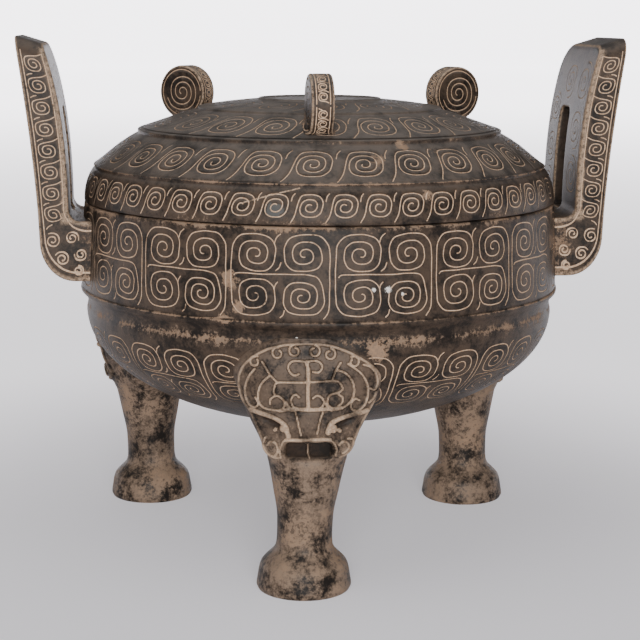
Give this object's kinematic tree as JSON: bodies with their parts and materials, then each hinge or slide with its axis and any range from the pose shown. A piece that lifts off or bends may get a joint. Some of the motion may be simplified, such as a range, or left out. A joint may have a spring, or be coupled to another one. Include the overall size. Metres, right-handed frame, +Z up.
{
  "type": "terracotta tripod cauldron",
  "caption": "Round lidded clay cauldron on animal-mask legs, with upright slotted ears, a stepped lid with disc knobs and bands of incised spirals.",
  "frame": {"origin": "on the ground below the middle of the bowl, between the feet", "axes": "+X through the right ear, +Z up, +Y away from the leg that faces the viewer"},
  "size_m": [0.295, 0.2411, 0.25],
  "materials": {
    "vessel_clay": "burnished dark grey-brown terracotta, incised lines filled with buff clay, dusted with tan soil",
    "lid_clay": "burnished dark grey-brown terracotta with a soft grey sheen, incised spirals filled with buff clay"
  },
  "bodies": {
    "root": {"tripod_vessel": "vessel_clay", "lid": "lid_clay"}
  },
  "joints": []
}
